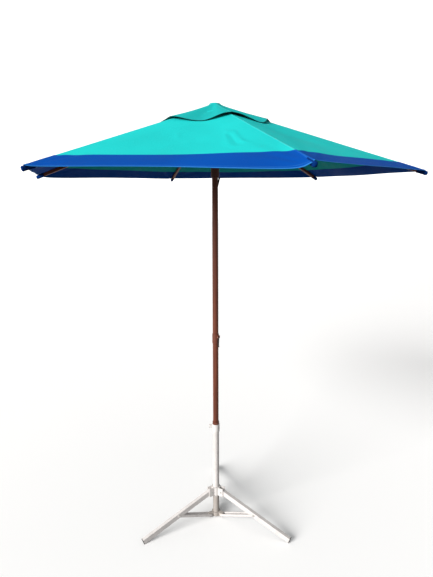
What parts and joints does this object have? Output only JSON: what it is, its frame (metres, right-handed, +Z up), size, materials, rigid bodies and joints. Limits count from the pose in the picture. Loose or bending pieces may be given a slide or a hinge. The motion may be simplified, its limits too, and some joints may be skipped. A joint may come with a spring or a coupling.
{
  "type": "beach umbrella",
  "caption": "Six-sided vented beach umbrella with a two-piece wooden pole, folding ribs and a folding three-leg stand.",
  "frame": {"origin": "on the ground, on the pole axis, under the middle of the canopy", "axes": "+Z up along the pole; the third leg of the stand points along +Y; the socket screw points along -X"},
  "size_m": [1.7662, 1.7262, 2.07],
  "materials": {
    "black_paint": "black enamel",
    "brown_paint": "brown enamel",
    "dark_plastic": "dark moulded",
    "dark_wood": "dark stained, satin",
    "spring_steel": "dark spring steel",
    "stained_wood": "stained, satin",
    "teal_cap_fabric": "woven canopy cloth",
    "teal_fabric": "woven canopy cloth",
    "white_paint": "white enamel",
    "white_plastic": "white moulded",
    "zinc": "zinc plated"
  },
  "bodies": {
    "stand": {"base_tube": "white_paint", "tube_plug": "dark_plastic", "socket_collar": "white_plastic", "spider": "white_paint"},
    "socket_screw": {"socket_screw": "white_plastic"},
    "leg_collar": {"leg_collar": "white_paint", "leg_pin_1": "zinc", "leg_pin_2": "zinc", "leg_pin_3": "zinc"},
    "leg_1": {"leg_1": "white_paint", "foot_plug_1": "dark_plastic", "brace_pin_1": "zinc"},
    "brace_1": {"brace_1_left": "white_paint", "brace_1_right": "white_paint"},
    "leg_2": {"leg_2": "white_paint", "foot_plug_2": "dark_plastic", "brace_pin_2": "zinc"},
    "brace_2": {"brace_2_left": "white_paint", "brace_2_right": "white_paint"},
    "leg_3": {"leg_3": "white_paint", "foot_plug_3": "dark_plastic", "brace_pin_3": "zinc"},
    "brace_3": {"brace_3_left": "white_paint", "brace_3_right": "white_paint"},
    "lower_pole": {"lower_pole": "stained_wood", "stop_ring": "brown_paint", "joint_sleeve": "brown_paint", "lever_pin": "zinc"},
    "clamp_lever": {"clamp_lever": "black_paint"},
    "upper_pole": {"upper_pole": "stained_wood", "rib_hub": "dark_wood", "hinge_wire": "zinc", "crown_cap": "dark_plastic"},
    "runner_catch": {"runner_catch": "spring_steel"},
    "runner": {"runner": "dark_wood"},
    "rib_1": {"rib_1": "stained_wood", "canopy_panel_1": "teal_fabric", "vent_cap_panel_1": "teal_cap_fabric"},
    "stretcher_1": {"stretcher_1": "stained_wood"},
    "rib_2": {"rib_2": "stained_wood", "canopy_panel_2": "teal_fabric", "vent_cap_panel_2": "teal_cap_fabric"},
    "stretcher_2": {"stretcher_2": "stained_wood"},
    "rib_3": {"rib_3": "stained_wood", "canopy_panel_3": "teal_fabric", "vent_cap_panel_3": "teal_cap_fabric"},
    "stretcher_3": {"stretcher_3": "stained_wood"},
    "rib_4": {"rib_4": "stained_wood", "canopy_panel_4": "teal_fabric", "vent_cap_panel_4": "teal_cap_fabric"},
    "stretcher_4": {"stretcher_4": "stained_wood"},
    "rib_5": {"rib_5": "stained_wood", "canopy_panel_5": "teal_fabric", "vent_cap_panel_5": "teal_cap_fabric"},
    "stretcher_5": {"stretcher_5": "stained_wood"},
    "rib_6": {"rib_6": "stained_wood", "canopy_panel_6": "teal_fabric", "vent_cap_panel_6": "teal_cap_fabric"},
    "stretcher_6": {"stretcher_6": "stained_wood"}
  },
  "joints": [
    {"name": "socket_screw_turn", "type": "hinge", "parent": "stand", "child": "socket_screw", "pos_m": [-0.016, 0, 0.515], "axis": [-1, 0, 0], "range_deg": [0, 360]},
    {"name": "leg_collar_slide", "type": "slide", "parent": "stand", "child": "leg_collar", "axis": [0, 0, 1], "range_m": [0, 0.25427]},
    {"name": "leg_1_fold", "type": "hinge", "parent": "leg_collar", "child": "leg_1", "pos_m": [0, 0.0355, 0.14979], "axis": [-1, 0, 0], "range_deg": [0, 60]},
    {"name": "brace_1_fold", "type": "hinge", "parent": "leg_1", "child": "brace_1", "pos_m": [0, 0.22136, 0.08215], "axis": [-1, 0, 0], "range_deg": [-120, 0]},
    {"name": "leg_2_fold", "type": "hinge", "parent": "leg_collar", "child": "leg_2", "pos_m": [-0.03074, -0.01775, 0.14979], "axis": [0.5, -0.866, 0], "range_deg": [0, 60]},
    {"name": "brace_2_fold", "type": "hinge", "parent": "leg_2", "child": "brace_2", "pos_m": [-0.1917, -0.11068, 0.08215], "axis": [0.5, -0.866, 0], "range_deg": [-120, 0]},
    {"name": "leg_3_fold", "type": "hinge", "parent": "leg_collar", "child": "leg_3", "pos_m": [0.03074, -0.01775, 0.14979], "axis": [0.5, 0.866, 0], "range_deg": [0, 60]},
    {"name": "brace_3_fold", "type": "hinge", "parent": "leg_3", "child": "brace_3", "pos_m": [0.1917, -0.11068, 0.08215], "axis": [0.5, 0.866, 0], "range_deg": [-120, 0]},
    {"name": "pole_lift", "type": "slide", "parent": "stand", "child": "lower_pole", "axis": [0, 0, 1], "range_m": [0, 0.25]},
    {"name": "clamp_lever_swing", "type": "hinge", "parent": "lower_pole", "child": "clamp_lever", "pos_m": [0.01378, -0.01531, 0.995], "axis": [-0.7431, -0.6691, 0], "range_deg": [0, 110]},
    {"name": "upper_pole_lift", "type": "slide", "parent": "lower_pole", "child": "upper_pole", "axis": [0, 0, 1], "range_m": [0, 0.08]},
    {"name": "runner_catch_press", "type": "hinge", "parent": "upper_pole", "child": "runner_catch", "pos_m": [0.0105, 0, 1.70479], "axis": [0, -1, 0], "range_deg": [0, 12], "stiffness_Nm_per_rad": 0.1},
    {"name": "rib_1_fold", "type": "hinge", "parent": "upper_pole", "child": "rib_1", "pos_m": [0.02636, -0.00584, 2.036], "axis": [0.2164, 0.9763, 0], "range_deg": [0, 66], "deforming": ["canopy_panel_1", "canopy_panel_2", "canopy_panel_3", "canopy_panel_4", "canopy_panel_5", "canopy_panel_6", "vent_cap_panel_1", "vent_cap_panel_2", "vent_cap_panel_3", "vent_cap_panel_4", "vent_cap_panel_5", "vent_cap_panel_6", "runner_catch"]},
    {"name": "stretcher_1_fold", "type": "hinge", "parent": "rib_1", "child": "stretcher_1", "pos_m": [0.37177, -0.08242, 1.92105], "axis": [0.2164, 0.9763, 0], "range_deg": [-132, 0]},
    {"name": "rib_2_fold", "type": "hinge", "parent": "upper_pole", "child": "rib_2", "pos_m": [0.01824, 0.01991, 2.036], "axis": [-0.7373, 0.6756, 0], "range_deg": [0, 66]},
    {"name": "stretcher_2_fold", "type": "hinge", "parent": "rib_2", "child": "stretcher_2", "pos_m": [0.25726, 0.28075, 1.92105], "axis": [-0.7373, 0.6756, 0], "range_deg": [-132, 0]},
    {"name": "rib_3_fold", "type": "hinge", "parent": "upper_pole", "child": "rib_3", "pos_m": [-0.00812, 0.02575, 2.036], "axis": [-0.9537, -0.3007, 0], "range_deg": [0, 66]},
    {"name": "stretcher_3_fold", "type": "hinge", "parent": "rib_3", "child": "stretcher_3", "pos_m": [-0.11451, 0.36317, 1.92105], "axis": [-0.9537, -0.3007, 0], "range_deg": [-132, 0]},
    {"name": "rib_4_fold", "type": "hinge", "parent": "upper_pole", "child": "rib_4", "pos_m": [-0.02636, 0.00584, 2.036], "axis": [-0.2164, -0.9763, 0], "range_deg": [0, 66]},
    {"name": "stretcher_4_fold", "type": "hinge", "parent": "rib_4", "child": "stretcher_4", "pos_m": [-0.37177, 0.08242, 1.92105], "axis": [-0.2164, -0.9763, 0], "range_deg": [-132, 0]},
    {"name": "rib_5_fold", "type": "hinge", "parent": "upper_pole", "child": "rib_5", "pos_m": [-0.01824, -0.01991, 2.036], "axis": [0.7373, -0.6756, 0], "range_deg": [0, 66]},
    {"name": "stretcher_5_fold", "type": "hinge", "parent": "rib_5", "child": "stretcher_5", "pos_m": [-0.25726, -0.28075, 1.92105], "axis": [0.7373, -0.6756, 0], "range_deg": [-132, 0]},
    {"name": "rib_6_fold", "type": "hinge", "parent": "upper_pole", "child": "rib_6", "pos_m": [0.00812, -0.02575, 2.036], "axis": [0.9537, 0.3007, 0], "range_deg": [0, 66]},
    {"name": "stretcher_6_fold", "type": "hinge", "parent": "rib_6", "child": "stretcher_6", "pos_m": [0.11451, -0.36317, 1.92105], "axis": [0.9537, 0.3007, 0], "range_deg": [-132, 0]},
    {"name": "runner_slide", "type": "slide", "parent": "upper_pole", "child": "runner", "axis": [0, 0, -1], "range_m": [0, 0.51002]}
  ],
  "couplings": [
    {"joint": "leg_1_fold", "follows": "leg_collar_slide", "rad_per_m": 4.1184},
    {"joint": "brace_1_fold", "follows": "leg_collar_slide", "rad_per_m": -8.2368},
    {"joint": "leg_2_fold", "follows": "leg_collar_slide", "rad_per_m": 4.1184},
    {"joint": "brace_2_fold", "follows": "leg_collar_slide", "rad_per_m": -8.2368},
    {"joint": "leg_3_fold", "follows": "leg_collar_slide", "rad_per_m": 4.1184},
    {"joint": "brace_3_fold", "follows": "leg_collar_slide", "rad_per_m": -8.2368},
    {"joint": "stretcher_1_fold", "follows": "rib_1_fold", "ratio": -2},
    {"joint": "rib_2_fold", "follows": "rib_1_fold", "ratio": 1},
    {"joint": "stretcher_2_fold", "follows": "rib_1_fold", "ratio": -2},
    {"joint": "rib_3_fold", "follows": "rib_1_fold", "ratio": 1},
    {"joint": "stretcher_3_fold", "follows": "rib_1_fold", "ratio": -2},
    {"joint": "rib_4_fold", "follows": "rib_1_fold", "ratio": 1},
    {"joint": "stretcher_4_fold", "follows": "rib_1_fold", "ratio": -2},
    {"joint": "rib_5_fold", "follows": "rib_1_fold", "ratio": 1},
    {"joint": "stretcher_5_fold", "follows": "rib_1_fold", "ratio": -2},
    {"joint": "rib_6_fold", "follows": "rib_1_fold", "ratio": 1},
    {"joint": "stretcher_6_fold", "follows": "rib_1_fold", "ratio": -2},
    {"joint": "runner_slide", "follows": "rib_1_fold", "m_per_rad": 0.44275}
  ]
}
